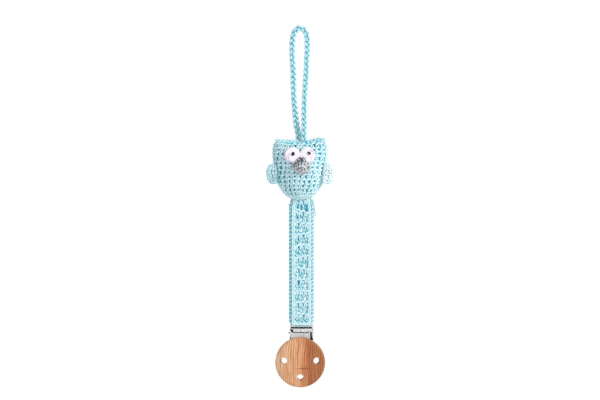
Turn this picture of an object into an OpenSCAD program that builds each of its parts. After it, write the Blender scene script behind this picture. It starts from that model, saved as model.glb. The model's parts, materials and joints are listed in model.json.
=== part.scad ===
// Crocheted owl soother holder: a braided loop, a stuffed owl, a crocheted strap,
// and a sprung metal clip with a beech disc on its lever.
// The origin is inside the top of the loop, where the holder hangs from a soother.
// +Z is up and the owl faces -Y. All sizes are in millimetres.

/* [Loop] */
// Thickness of the braided cord
loop_d = 5; // [4.6:0.1:5.2]

/* [Owl] */
// Width of the body at its widest
owl_w = 40; // [38:0.5:41]
// Depth of the stuffed belly
owl_d = 26; // [24:0.5:28]
// Height of the body from the seam to the underside
owl_h = 43.6; // [43:0.1:43.6]
// Thickness of the crocheted fabric
fabric_t = 2.5; // [2:0.1:3]
// Diameter of an eye patch
eye_d = 11; // [9:0.5:12]
// Width of the beak where it is sewn on
beak_w = 12.8; // [11:0.2:13]
// Height of a wing
wing_h = 14.8; // [12:0.2:15]
// Reach of a wing from its seam
wing_reach = 7.2; // [6:0.2:8]

/* [Strap] */
// Width of the crocheted strap
strap_w = 18; // [17:0.1:18.2]
// Thickness of the crocheted strap
strap_t = 3; // [2.6:0.1:3]

/* [Clip] */
// Width of the folded steel frame
frame_w = 17; // [16.8:0.1:17.2]
// Width of the lever between the frame's walls
lever_w = 13.9; // [13.5:0.1:13.9]
// Thickness of the steel sheet
sheet_t = 0.8; // [0.7:0.05:0.8]
// Diameter of the hinge pin
pin_d = 1; // [0.9:0.05:1.1]

/* [Disc] */
// Diameter of the beech disc
disc_d = 36; // [34:0.5:36]
// Thickness of the beech disc
disc_t = 7.6; // [7:0.1:8]
// Diameter of the three air holes
air_hole_d = 4.8; // [4.5:0.1:5.5]

/* [Hidden] */

// Colours
aqua = [0.60, 0.84, 0.88];
aqua_dark = [0.42, 0.72, 0.78];
pink_white = [0.95, 0.88, 0.93];
near_black = [0.06, 0.06, 0.10];
beak_grey = [0.72, 0.72, 0.74];
stuffing_white = [0.95, 0.95, 0.94];
label_white = [0.97, 0.96, 0.97];
nickel = [0.78, 0.78, 0.80];
spring_steel = [0.62, 0.63, 0.66];
pad_white = [0.90, 0.90, 0.88];
beech = [0.82, 0.60, 0.42];

// Loop: the cord's middle line, up from the head on one side and down on the other
loop_route = [
    [-1, 1.8, -77.4], [-1.6, 1.5, -73], [-2.6, 1.1, -68], [-3.4, 0.7, -62],
    [-4, 0.3, -55], [-4.4, 0, -47], [-4.8, 0, -38], [-5, 0, -29], [-5.4, 0, -20],
    [-5.7, 0, -12], [-5.6, 0, -6.5], [-4.6, 0, -1.5], [-2.6, 0, 1.4], [0, 0, 2.5],
    [2.6, 0, 1.4], [4.6, 0, -1.5], [5.4, 0, -6.5], [5.4, 0, -12], [5, 0, -20],
    [4.6, 0, -29], [4, 0, -38], [3.4, 0, -47], [3.1, -0.3, -55], [3, -0.7, -62],
    [3, -1.1, -68], [2.9, -1.5, -73], [2.8, -1.8, -77.4]
];
loop_sides = 10;
loop_steps = 2;

// Owl: how far down, how wide and how deep, as shares of the body's height and of half
// its width and depth
seam_h = 1.2;
owl_top = loop_route[0][2] - seam_h;
owl_rows = [
    [0, 0.93, 0.15], [0.05, 0.97, 0.31], [0.14, 1, 0.58], [0.25, 0.995, 0.80],
    [0.37, 0.97, 0.92], [0.50, 0.92, 0.985], [0.64, 0.88, 1], [0.76, 0.80, 0.95],
    [0.83, 0.72, 0.86], [0.885, 0.65, 0.76], [0.945, 0.515, 0.60], [0.985, 0.33, 0.38],
    [1, 0.12, 0.14]
];
owl_sides = 36;
owl_squareness = 2.3;
stuffing_gap = 0.1;
least_ring = 0.5;
seam_w = 0.9 * owl_w;
seam_depth = 0.15 * owl_d;

// Face, placed from the body's top
eye_x = [-5.6, 5.2];
eye_y = -0.79 * owl_d / 2;
eye_z = owl_top - 11.9;
eye_t = 2.4;
eye_lean = 18;
pupil_w = 2.6;
pupil_h = 2.1;
pupil_t = 0.8;
pupil_at = [[0.5, 0.4], [1.2, 1]];
pupil_sink = 0.1;
pupil_turn = [0, 35];
beak_at = [0.8, -0.85 * owl_d / 2, owl_top - 18.4];
beak_base_t = 1.2;
beak_reach = 7.4;
beak_drop = 3.4;
beak_tip_r = 2.6;

// Wings: each turns on the seam that holds it to the body's side
wing_t = 2.8;
wing_seam_x = 0.88 * owl_w / 2;
wing_seam_y = -0.585 * owl_d / 2;
wing_z = owl_top - 25;
wing_lean = 8;
wing_heel = 0.9;
wing_seam_span = [0.22, 0.78];

// Strap: it swings on its top seam, and its end is folded round the clip's bar
clip_x = 0.9;
strap_gap = 0.2;
strap_pivot_z = owl_top - owl_h - strap_t / 2 - strap_gap;
bar_z = -214.3;
bar_d = 1.1;
bar_clearance = 0.07;
fold_d = 2.8;
fold_w = 13.6;
fold_lap = 0.5;
band_bottom = bar_z + 1.9;
stitch_count = 6;
stitch_z = band_bottom + 1.6;
stitch_size = [1.5, 0.35, 0.6];

// Label behind the strap's top
label_size = [18, 0.3, 11];
label_shift = 0.6;
label_gap = 0.1;
label_top = strap_pivot_z - 1.4;
label_turn = -7;

// Clip frame: a bridge in front and a back plate, joined by two side walls
frame_left = clip_x - frame_w / 2;
frame_right = clip_x + frame_w / 2;
bridge_top = bar_z - 1.6;
bridge_bottom = bridge_top - 2.4;
back_y = 3.65;
back_top = bar_z - 0.5;
back_bottom = back_top - 22.2;
back_corner = 3;
wall_bottom = back_top - 7.6;
wall_front = -2.6;
wall_corner = 1.6;
bar_boss_r = 0.8;
relief_size = [1.7, 1.9];
fixed_gap = 0.01;

// Hinge
pin_y = -1.4;
pin_z = bridge_bottom - 0.6;
pin_stickout = [0.9, 0.3];
pin_running = 0.06;
eye_boss_r = 1;
ear_drop = 0.3;
cam_h = [0.5, 1.2];
flange_start = 2.6;

// Lever
lever_x = 0.25;
lever_left = lever_x - lever_w / 2;
lever_right = lever_x + lever_w / 2;
lever_y = -2.9;
lever_top = pin_z;
lever_bottom = lever_top - 19.6;
lever_corner = 3;
flange_depth = 1.5;
flange_bottom = lever_top - 16.6;
screw_clearance = 0.1;
cam_y = 0.25;

// Tongue: a leaf of spring steel behind the bridge, with shoulders for the lever's cams
leaf_t = 0.4;
leaf_w = 9.6;
leaf_root_w = 8.2;
shoulder_w = 13.4;
shoulder_h = 2.2;
leaf_root_y = sheet_t / 2;
leaf_jaw_y = 1.5;
leaf_top = bridge_top - 0.3;
leaf_knee = [pin_z - 0.4, pin_z - 3.2];
leaf_bottom = back_bottom + 1;
rivet_x = 1;
rivet_z = bridge_bottom + 0.45;
rivet_r = 0.95;
rivet_shank_r = 0.5;
rivet_tail = 0.6;
rivet_head_t = [0.5, 0.3];
rivet_dome_r = 1.4;
leaf_hole_gap = 0.15;

// Jaw pads
pad_t = 0.8;
pad_w = 9;
pad_h = 8;
pad_z = leaf_bottom + 0.3;
rib_count = 4;
rib_t = 0.3;

// Disc
disc_z = -239.9;
disc_back_y = lever_y;
disc_crown = 1.3;
edge_r = 2;
back_edge_r = 1.8;
arc_steps = 6;
air_hole_side = [12.1, 1.4];
air_hole_low = 10.8;
air_hole_splay = 7;
screw_x = 3.4;
screw_z = -231.5;
screw_r = 0.9;
screw_depth = 4.2;
screw_head_r = 1.6;
screw_head_t = 0.7;
screw_hole_gap = 0.02;
screw_slot = [2, 0.4, 0.4];
screw_tip_gap = 0.3;

// How far a cutting shape runs past what it cuts
cut = 1;
round_fn = 64;

// A point between b and c on the smooth curve through a, b, c and d
function between(a, b, c, d, t) =
    0.5 * (2 * b + (c - a) * t + (2 * a - 5 * b + 4 * c - d) * t * t
        + (3 * b - 3 * c + d - a) * t * t * t);

// The route with more points on the same curve
function smooth_route(p, steps) =
    let (last = len(p) - 1)
    concat([
        for (i = [0 : last - 1]) for (k = [0 : steps - 1])
            between(p[max(i - 1, 0)], p[i], p[i + 1], p[min(i + 2, last)], k / steps)
    ], [p[last]]);

function unit(v) = v / norm(v);
function heading(p, i) = unit(p[min(i + 1, len(p) - 1)] - p[max(i - 1, 0)]);

// A ring of points about p, square to the direction t
function tube_ring(p, t, r, sides) =
    let (u = unit(cross(t, [0, 1, 0])), v = cross(t, u))
    [for (k = [0 : sides - 1]) p + r * (cos(360 * k / sides) * u + sin(360 * k / sides) * v)];

// A ring of the body, from oval to squarish
function body_ring(w, d, z, sides, power) = [
    for (k = [0 : sides - 1])
        let (c = cos(360 * k / sides), s = sin(360 * k / sides))
        [w * sign(c) * pow(abs(c), 2 / power), d * sign(s) * pow(abs(s), 2 / power), z]
];

// A closed skin over rings that all have the same number of points
module skin(rings) {
    n = len(rings[0]);
    last = len(rings) - 1;
    polyhedron(
        points = [for (ring = rings) for (p = ring) p],
        faces = concat(
            [[for (k = [0 : n - 1]) k]],
            [for (i = [0 : last - 1]) for (k = [0 : n - 1])
                [i * n + k, (i + 1) * n + k, (i + 1) * n + (k + 1) % n]],
            [for (i = [0 : last - 1]) for (k = [0 : n - 1])
                [i * n + k, (i + 1) * n + (k + 1) % n, i * n + (k + 1) % n]],
            [[for (k = [n - 1 : -1 : 0]) last * n + k]]
        )
    );
}

// The owl's body, drawn in by a margin
module owl_body(margin) {
    skin([
        for (i = [len(owl_rows) - 1 : -1 : 0])
            let (row = owl_rows[i], height = owl_h - 2 * margin)
            body_ring(
                max(row[1] * owl_w / 2 - margin, least_ring),
                max(row[2] * owl_d / 2 - margin, least_ring),
                owl_top - margin - row[0] * height,
                owl_sides, owl_squareness
            )
    ]);
}

// An outline in Y and Z, from x0 to x1
module along_x(x0, x1) {
    translate([x0, 0, 0]) rotate([90, 0, 90]) linear_extrude(x1 - x0) children();
}

// An outline in X and Z, from y0 to y1
module along_y(y0, y1) {
    translate([0, y1, 0]) rotate([90, 0, 0]) linear_extrude(y1 - y0) children();
}

// A rectangle whose two lower corners are round
module tab(x0, x1, z0, z1, r) {
    translate([x0, z0 + r]) square([x1 - x0, z1 - z0 - r]);
    translate([x0 + r, z0]) square([x1 - x0 - 2 * r, r]);
    for (x = [x0 + r, x1 - r]) translate([x, z0 + r]) circle(r, $fn = round_fn);
}

module hanging_loop() {
    path = smooth_route(loop_route, loop_steps);
    last = len(path) - 1;
    color(aqua) skin([
        for (i = [last : -1 : 0])
            tube_ring(
                path[i], i == 0 || i == last ? [0, 0, i == 0 ? 1 : -1] : heading(path, i),
                loop_d / 2, loop_sides
            )
    ]);
}

module owl_shell() {
    color(aqua) difference() {
        owl_body(0);
        owl_body(fabric_t);
    }
}

module owl_stuffing() {
    color(stuffing_white) owl_body(fabric_t + stuffing_gap);
}

module top_seam() {
    color(aqua_dark) translate([0, 0, owl_top]) linear_extrude(seam_h) {
        square([seam_w - seam_depth, seam_depth], center = true);
        for (side = [-1, 1]) translate([side * (seam_w - seam_depth) / 2, 0])
            circle(d = seam_depth, $fn = round_fn);
    }
}

module eye(which) {
    rim = eye_t / 2;
    color(pink_white) translate([eye_x[which], eye_y, eye_z]) rotate([90 - eye_lean, 0, 0])
        rotate_extrude($fn = round_fn) {
            square([eye_d / 2 - rim, eye_t]);
            translate([eye_d / 2 - rim, rim])
                intersection() {
                    circle(rim, $fn = 32);
                    translate([0, -rim]) square([rim, eye_t]);
                }
        }
}

module pupil(which) {
    color(near_black) translate([eye_x[which], eye_y, eye_z])
        rotate([90 - eye_lean, 0, 0]) translate([pupil_at[which][0], pupil_at[which][1], eye_t - pupil_sink])
        rotate([0, 0, -pupil_turn[which]]) linear_extrude(pupil_t) {
            square([pupil_w - pupil_h, pupil_h], center = true);
            for (side = [-1, 1]) translate([side * (pupil_w - pupil_h) / 2, 0])
                circle(d = pupil_h, $fn = round_fn);
        }
}

module beak() {
    color(beak_grey) translate(beak_at) hull() {
        rotate([90, 0, 0]) cylinder(d = beak_w, h = beak_base_t, $fn = 32);
        translate([0, -beak_reach, -beak_drop]) sphere(beak_tip_r, $fn = 32);
    }
}

// One wing, with its seam along Z at the origin and its tip towards +X
module wing() {
    root_r = wing_t / 2;
    round_r = wing_reach - root_r;
    color(aqua) intersection() {
        union() {
            cylinder(r = root_r, h = wing_h, $fn = round_fn);
            translate([0, -root_r, 0]) cube([wing_reach, wing_t, wing_h]);
        }
        along_y(-root_r, root_r) {
            translate([-root_r, wing_h * wing_seam_span[0]])
                square([root_r, wing_h * (wing_seam_span[1] - wing_seam_span[0])]);
            translate([0, wing_h - round_r]) circle(round_r, $fn = round_fn);
            translate([0, round_r * wing_heel]) circle(round_r * wing_heel, $fn = round_fn);
            translate([0, round_r]) square([round_r, wing_h - 2 * round_r]);
            translate([root_r, wing_h - round_r]) circle(round_r, $fn = round_fn);
        }
    }
}

module right_wing() {
    translate([wing_seam_x, wing_seam_y, wing_z]) rotate([0, wing_lean, 0])
        translate([0, 0, -wing_h / 2]) wing();
}

module left_wing() {
    mirror([1, 0, 0]) right_wing();
}

module strap() {
    flat_w = strap_w - strap_t;
    color(aqua) difference() {
        union() {
            translate([clip_x, 0, band_bottom])
                linear_extrude(strap_pivot_z - band_bottom) {
                    square([flat_w, strap_t], center = true);
                    for (side = [-1, 1]) translate([side * flat_w / 2, 0])
                        circle(d = strap_t, $fn = round_fn);
                }
            along_x(clip_x - flat_w / 2, clip_x + flat_w / 2)
                translate([0, strap_pivot_z]) circle(d = strap_t, $fn = round_fn);
            along_x(clip_x - fold_w / 2, clip_x + fold_w / 2) {
                translate([0, bar_z]) circle(d = fold_d, $fn = round_fn);
                translate([-fold_d / 2, bar_z]) square([fold_d, band_bottom - bar_z + fold_lap]);
            }
        }
        along_x(clip_x - strap_w, clip_x + strap_w)
            translate([0, bar_z]) circle(bar_d / 2 + bar_clearance, $fn = round_fn);
    }
}

module fold_stitches() {
    pitch = fold_w / stitch_count;
    color(aqua_dark) for (k = [0 : stitch_count - 1])
        translate([clip_x - fold_w / 2 + (k + 0.5) * pitch - stitch_size[0] / 2,
            strap_t / 2, stitch_z])
            cube(stitch_size);
}

module care_label() {
    color(label_white) translate([clip_x + label_shift, strap_t / 2 + label_gap, label_top])
        rotate([0, label_turn, 0]) translate([-label_size[0] / 2, 0, -label_size[2]])
            cube(label_size);
}

module wall_outline() {
    translate([0, bar_z]) circle(bar_boss_r, $fn = round_fn);
    polygon([
        [-bar_boss_r, bar_z], [bar_boss_r, bar_z], [back_y, back_top],
        [back_y + sheet_t, back_top], [back_y + sheet_t, wall_bottom],
        [wall_front + wall_corner, wall_bottom], [wall_front, wall_bottom + wall_corner],
        [wall_front, pin_z + wall_corner], [-bar_boss_r, bridge_top]
    ]);
}

module clip_frame() {
    color(nickel) difference() {
        union() {
            along_x(frame_left, frame_left + sheet_t) wall_outline();
            along_x(frame_right - sheet_t, frame_right) wall_outline();
            along_x(frame_left, frame_right)
                translate([0, bar_z]) circle(d = bar_d, $fn = round_fn);
            translate([frame_left, -sheet_t / 2, bridge_bottom])
                cube([frame_w, sheet_t, bridge_top - bridge_bottom]);
            along_y(back_y, back_y + sheet_t)
                tab(frame_left, frame_right, back_bottom, back_top, back_corner);
        }
        along_x(frame_left - cut, frame_right + cut)
            translate([pin_y, pin_z]) circle(pin_d / 2 + fixed_gap, $fn = round_fn);
        along_y(-cut, cut) translate([rivet_x, rivet_z]) circle(rivet_shank_r + fixed_gap, $fn = round_fn);
        translate([frame_left + sheet_t, -cut, bridge_bottom - cut])
            cube([relief_size[0], 2 * cut, relief_size[1] + cut]);
    }
}

module frame_pad() {
    color(pad_white) jaw_pad(back_y - pad_t, pad_t, -1);
}

module tongue_pad() {
    color(pad_white) jaw_pad(leaf_jaw_y + leaf_t, pad_t, 1);
}

// A pad with ribs across it. Its back is at y0 or y0 + t, and its ribs face the other pad
module jaw_pad(y0, t, facing) {
    body_t = t - rib_t;
    translate([clip_x - pad_w / 2, facing > 0 ? y0 : y0 + rib_t, pad_z])
        cube([pad_w, body_t, pad_h]);
    for (k = [0 : rib_count - 1])
        translate([clip_x - pad_w / 2, facing > 0 ? y0 + body_t : y0,
            pad_z + (k + 0.25) * pad_h / rib_count])
            cube([pad_w, rib_t, pad_h / rib_count / 2]);
}

module hinge_pin() {
    color(nickel) along_x(frame_left - pin_stickout[0], frame_right + pin_stickout[1])
        translate([pin_y, pin_z]) circle(d = pin_d, $fn = round_fn);
}

module tongue_rivet() {
    shank_back = leaf_root_y + leaf_t + rivet_tail;
    color(nickel) {
        along_y(-sheet_t / 2, shank_back)
            translate([rivet_x, rivet_z]) circle(rivet_shank_r, $fn = round_fn);
        translate([rivet_x, -sheet_t / 2, rivet_z]) rotate([90, 0, 0]) intersection() {
            cylinder(r = rivet_r, h = rivet_head_t[0], $fn = round_fn);
            translate([0, 0, rivet_head_t[0] - rivet_dome_r]) sphere(rivet_dome_r, $fn = round_fn);
        }
        along_y(shank_back - rivet_head_t[1], shank_back)
            translate([rivet_x, rivet_z]) circle(rivet_r, $fn = round_fn);
    }
}

module tongue() {
    root_bottom = leaf_knee[0] - shoulder_h;
    color(spring_steel) difference() {
        intersection() {
            along_x(clip_x - shoulder_w, clip_x + shoulder_w) polygon([
                [leaf_root_y, leaf_top], [leaf_root_y + leaf_t, leaf_top],
                [leaf_root_y + leaf_t, leaf_knee[0]], [leaf_jaw_y + leaf_t, leaf_knee[1]],
                [leaf_jaw_y + leaf_t, leaf_bottom], [leaf_jaw_y, leaf_bottom],
                [leaf_jaw_y, leaf_knee[1]], [leaf_root_y, leaf_knee[0]]
            ]);
            along_y(-cut, leaf_jaw_y + cut) {
                translate([clip_x - leaf_root_w / 2, root_bottom])
                    square([leaf_root_w, leaf_top - root_bottom]);
                translate([lever_x - shoulder_w / 2, root_bottom])
                    square([shoulder_w, shoulder_h]);
                translate([clip_x - leaf_w / 2, leaf_bottom])
                    square([leaf_w, leaf_knee[0] - leaf_bottom]);
            }
        }
        along_y(-cut, leaf_jaw_y + cut)
            translate([rivet_x, rivet_z]) circle(rivet_shank_r + leaf_hole_gap, $fn = round_fn);
    }
}

module flange_outline() {
    flange_back = lever_y + sheet_t + flange_depth;
    difference() {
        union() {
            translate([pin_y, pin_z]) circle(eye_boss_r, $fn = round_fn);
            polygon([
                [pin_y + eye_boss_r, pin_z - ear_drop], [cam_y, pin_z - cam_h[0]],
                [cam_y, pin_z - cam_h[1]], [flange_back, pin_z - flange_start],
                [flange_back, flange_bottom + flange_depth],
                [lever_y + sheet_t, flange_bottom], [lever_y, flange_bottom],
                [lever_y, lever_top], [pin_y, lever_top]
            ]);
        }
        translate([pin_y, pin_z]) circle(pin_d / 2 + pin_running, $fn = round_fn);
    }
}

module clip_lever() {
    color(nickel) difference() {
        union() {
            along_x(lever_left, lever_left + sheet_t) flange_outline();
            along_x(lever_right - sheet_t, lever_right) flange_outline();
            along_y(lever_y, lever_y + sheet_t)
                tab(lever_left, lever_right, lever_bottom, lever_top, lever_corner);
        }
        along_y(lever_y - cut, lever_y + sheet_t + cut) for (side = [-1, 1])
            translate([side * screw_x, screw_z]) circle(screw_r + screw_clearance, $fn = round_fn);
    }
}

// Points of an arc about c
function arc(c, r, a0, a1) = [
    for (k = [0 : arc_steps])
        let (a = a0 + (a1 - a0) * k / arc_steps) c + r * [cos(a), sin(a)]
];

// Half of the disc's section: its middle line is at x = 0 and its front at y = disc_t
module disc_section() {
    r = disc_d / 2;
    shoulder = disc_t - disc_crown;
    crown_r = (pow(r - edge_r, 2) + pow(disc_crown, 2)) / (2 * disc_crown);
    slope = asin((r - edge_r) / crown_r);
    polygon(concat(
        [[0, 0]],
        arc([r - back_edge_r, back_edge_r], back_edge_r, -90, 0),
        arc([r - edge_r, shoulder - edge_r], edge_r, 0, 90 - slope / 2),
        arc([0, disc_t - crown_r], crown_r, 90 - slope, 90)
    ));
}

module wood_disc() {
    color(beech) difference() {
        translate([0, disc_back_y, disc_z]) rotate([90, 0, 0])
            rotate_extrude($fn = 128) disc_section();
        for (side = [-1, 1])
            translate([side * air_hole_side[0], disc_back_y - disc_t, disc_z + air_hole_side[1]])
                rotate([0, 0, side * air_hole_splay]) air_hole();
        translate([0, disc_back_y - disc_t, disc_z - air_hole_low])
            rotate([air_hole_splay, 0, 0]) air_hole();
        for (side = [-1, 1]) translate([side * screw_x, disc_back_y + cut, screw_z])
            rotate([90, 0, 0]) cylinder(
                r = screw_r + screw_hole_gap, h = screw_depth + screw_tip_gap + cut, $fn = round_fn
            );
    }
}

module air_hole() {
    translate([0, -disc_t, 0]) rotate([-90, 0, 0])
        cylinder(d = air_hole_d, h = 3 * disc_t, $fn = round_fn);
}

module disc_screws() {
    head_y = lever_y + sheet_t;
    color(nickel) for (side = [-1, 1])
        translate([side * screw_x, head_y, screw_z]) rotate([90, 0, 0]) {
            cylinder(r = screw_r, h = screw_depth + sheet_t, $fn = round_fn);
            translate([0, 0, -screw_head_t]) difference() {
                cylinder(r = screw_head_r, h = screw_head_t, $fn = round_fn);
                for (turn = [0, 90]) rotate([0, 0, turn])
                    translate([-screw_slot[0] / 2, -screw_slot[1] / 2, screw_slot[2] - cut])
                        cube([screw_slot[0], screw_slot[1], cut]);
            }
        }
}

hanging_loop();
owl_shell();
owl_stuffing();
top_seam();
eye(0);  // left_eye
eye(1);  // right_eye
pupil(0);  // left_pupil
pupil(1);  // right_pupil
beak();
left_wing();
right_wing();
strap();
fold_stitches();
care_label();
clip_frame();
frame_pad();
hinge_pin();
tongue_rivet();
tongue();
tongue_pad();
clip_lever();
wood_disc();
disc_screws();
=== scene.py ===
"""Looks for the crocheted owl soother holder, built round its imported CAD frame.

All yarn is real geometry: strands swept along stitch paths that are laid on smooth skins.
Lengths are in metres; MM turns millimetres into metres. The owl faces -Y and +Z is up.
"""

import json
import math
import random

import bpy
import numpy as np
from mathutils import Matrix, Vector


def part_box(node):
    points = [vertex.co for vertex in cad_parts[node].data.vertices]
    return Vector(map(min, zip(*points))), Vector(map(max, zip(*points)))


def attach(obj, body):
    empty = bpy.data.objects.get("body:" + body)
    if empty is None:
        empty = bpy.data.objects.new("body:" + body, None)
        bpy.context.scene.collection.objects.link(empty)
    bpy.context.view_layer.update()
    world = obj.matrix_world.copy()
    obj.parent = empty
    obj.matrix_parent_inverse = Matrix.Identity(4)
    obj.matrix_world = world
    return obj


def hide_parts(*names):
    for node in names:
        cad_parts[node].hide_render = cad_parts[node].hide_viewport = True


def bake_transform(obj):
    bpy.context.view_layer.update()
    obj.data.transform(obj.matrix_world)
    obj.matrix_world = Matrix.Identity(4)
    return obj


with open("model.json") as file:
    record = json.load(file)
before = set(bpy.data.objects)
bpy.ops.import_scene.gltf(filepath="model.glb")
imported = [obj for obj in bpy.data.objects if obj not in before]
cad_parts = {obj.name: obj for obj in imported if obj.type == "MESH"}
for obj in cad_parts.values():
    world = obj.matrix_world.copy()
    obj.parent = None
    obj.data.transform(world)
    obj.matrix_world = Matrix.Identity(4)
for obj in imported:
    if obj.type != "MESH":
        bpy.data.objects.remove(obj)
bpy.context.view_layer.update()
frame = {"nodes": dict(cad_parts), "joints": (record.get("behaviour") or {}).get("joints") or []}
rng = random.Random(11)
MM = 0.001

# The length of yarn that one unit of its UV map covers
UV_LENGTH = 10 * MM

# ---------------------------------------------------------------- places from the frame


def middle(node):
    """The centre of a CAD node's box."""
    low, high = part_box(node)
    return (np.array(low) + np.array(high)) / 2


def size(node):
    """The three sides of a CAD node's box."""
    low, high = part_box(node)
    return np.array(high) - np.array(low)


def joint_point(name):
    """The point that a joint turns about."""
    return np.array(next(j for j in frame["joints"] if j["name"] == name)["pos_m"])


OWL_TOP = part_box("owl_shell")[1][2]
OWL_W, OWL_D, OWL_H = size("owl_shell")
STRAP_X = middle("strap")[0]
STRAP_W = size("strap")[0]
STRAP_PIVOT = joint_point("strap_swing")
BAR_Z = joint_point("clip_swing")[2]

# ------------------------------------------------------------------------ small helpers


def smoothstep(low, high, x):
    """0 below low, 1 above high, and a smooth climb between."""
    t = np.clip((x - low) / (high - low), 0, 1)
    return t * t * (3 - 2 * t)


def spline(points, steps):
    """A smooth curve through points, which may hold many strands: (..., n, 3)."""
    p = np.asarray(points, float)
    first = 2 * p[..., :1, :] - p[..., 1:2, :]
    last = 2 * p[..., -1:, :] - p[..., -2:-1, :]
    q = np.concatenate([first, p, last], axis=-2)
    out = []
    for i in range(p.shape[-2] - 1):
        a, b, c, d = (q[..., i + k, :] for k in range(4))
        for k in range(steps):
            t = k / steps
            out.append(
                0.5 * (2 * b + (c - a) * t + (2 * a - 5 * b + 4 * c - d) * t * t
                       + (3 * b - 3 * c + d - a) * t**3)
            )
    out.append(p[..., -1, :])
    return np.stack(out, axis=-2)


def unit(v):
    """Vectors of length 1, along the last axis."""
    return v / np.maximum(np.linalg.norm(v, axis=-1, keepdims=True), 1e-12)


def new_mesh(name, verts, loops, starts, uv=None):
    """A smooth mesh from arrays: corners in loops, and where each face starts."""
    mesh = bpy.data.meshes.new(name)
    mesh.vertices.add(len(verts))
    mesh.vertices.foreach_set("co", np.asarray(verts, np.float32).ravel())
    mesh.loops.add(len(loops))
    mesh.loops.foreach_set("vertex_index", np.asarray(loops, np.int32))
    mesh.polygons.add(len(starts))
    mesh.polygons.foreach_set("loop_start", np.asarray(starts, np.int32))
    mesh.update(calc_edges=True)
    mesh.polygons.foreach_set("use_smooth", np.ones(len(starts), bool))
    if uv is not None:
        layer = mesh.uv_layers.new(name="yarn")
        layer.data.foreach_set("uv", np.asarray(uv, np.float32).ravel())
    mesh.update()
    obj = bpy.data.objects.new(name, mesh)
    bpy.context.scene.collection.objects.link(obj)
    return obj


class Yarn:
    """Strands of yarn that end up in one mesh. The UV map runs along and round them."""

    def __init__(self, sides=8):
        self.sides = sides
        self.verts, self.loops, self.starts, self.uv, self.rise = [], [], [], [], []
        self.n_verts = self.n_loops = 0

    def add(self, paths, radius, out=None, lift=0.0):
        """paths is (strands, points, 3). out is the fabric's own outward direction and lift
        how far out the yarn's middle is, in radii: they tell deep yarn from raised yarn, for its
        painted shade."""
        p = np.asarray(paths, float)
        if p.ndim == 2:
            p = p[None]
        s, n, k = p.shape[0], p.shape[1], self.sides
        t = unit(np.gradient(p, axis=1))
        side = np.cross(t[:, 0], np.array([0.31, 0.52, 0.79]))
        u = [unit(side)]
        for i in range(1, n):
            flat = u[-1] - t[:, i] * np.sum(u[-1] * t[:, i], axis=-1, keepdims=True)
            u.append(unit(flat))
        u = np.stack(u, axis=1)
        v = np.cross(t, u)
        a = 2 * math.pi * np.arange(k) / k
        r = np.broadcast_to(np.asarray(radius, float), (s, n))
        ring = (np.cos(a)[None, None, :, None] * u[:, :, None]
                + np.sin(a)[None, None, :, None] * v[:, :, None])
        verts = p[:, :, None] + r[:, :, None, None] * ring
        if out is None:
            rise = np.ones((s, n, k))
        else:
            o = np.broadcast_to(np.asarray(out, float), p.shape)[:, :, None]
            high = np.broadcast_to(np.asarray(lift, float), (s, n))[:, :, None]
            rise = high + np.sum(ring * o, axis=-1)
        self.rise.append(rise.reshape(-1))
        along = np.concatenate(
            [np.zeros((s, 1)), np.cumsum(np.linalg.norm(np.diff(p, axis=1), axis=-1), axis=1)],
            axis=1) / UV_LENGTH
        along += np.array([rng.random() for _ in range(s)])[:, None]
        base = self.n_verts + np.arange(s)[:, None, None] * n * k
        i = np.arange(n - 1)[None, :, None] * k
        j = np.arange(k)[None, None]
        j2 = (j + 1) % k
        quads = np.stack([base + i + j, base + i + j2, base + i + k + j2, base + i + k + j], -1)
        u0 = np.repeat(along[:, :-1, None], k, axis=2)
        u1 = np.repeat(along[:, 1:, None], k, axis=2)
        v0 = np.broadcast_to(j / k, u0.shape)
        v1 = v0 + 1 / k
        quad_uv = np.stack([u0, v0, u0, v1, u1, v1, u1, v0], -1)
        n_quads = s * (n - 1) * k
        self.verts.append(verts.reshape(-1, 3))
        self.loops.append(quads.reshape(-1))
        self.starts.append(self.n_loops + 4 * np.arange(n_quads))
        self.uv.append(quad_uv.reshape(-1, 2))
        self.n_loops += 4 * n_quads
        caps = []
        for end, order in ((0, np.arange(k)[::-1]), (n - 1, np.arange(k))):
            caps.append(base[:, 0] + end * k + order[None])
        caps = np.concatenate(caps).reshape(-1)
        self.loops.append(caps)
        self.starts.append(self.n_loops + k * np.arange(2 * s))
        self.uv.append(np.zeros((len(caps), 2)))
        self.n_loops += len(caps)
        self.n_verts += s * n * k

    def build(self, name, rise=None):
        """The mesh object, whose rise attribute sets its painted shade. rise(points, laid) changes
        how raised the strands say they are.
        """
        verts = np.concatenate(self.verts)
        obj = new_mesh(name, verts, np.concatenate(self.loops),
                       np.concatenate(self.starts), np.concatenate(self.uv))
        laid = np.concatenate(self.rise)
        values = laid if rise is None else rise(verts, laid)
        layer = obj.data.attributes.new("rise", "FLOAT", "POINT")
        layer.data.foreach_set("value", values.astype(np.float32))
        return obj


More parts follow.
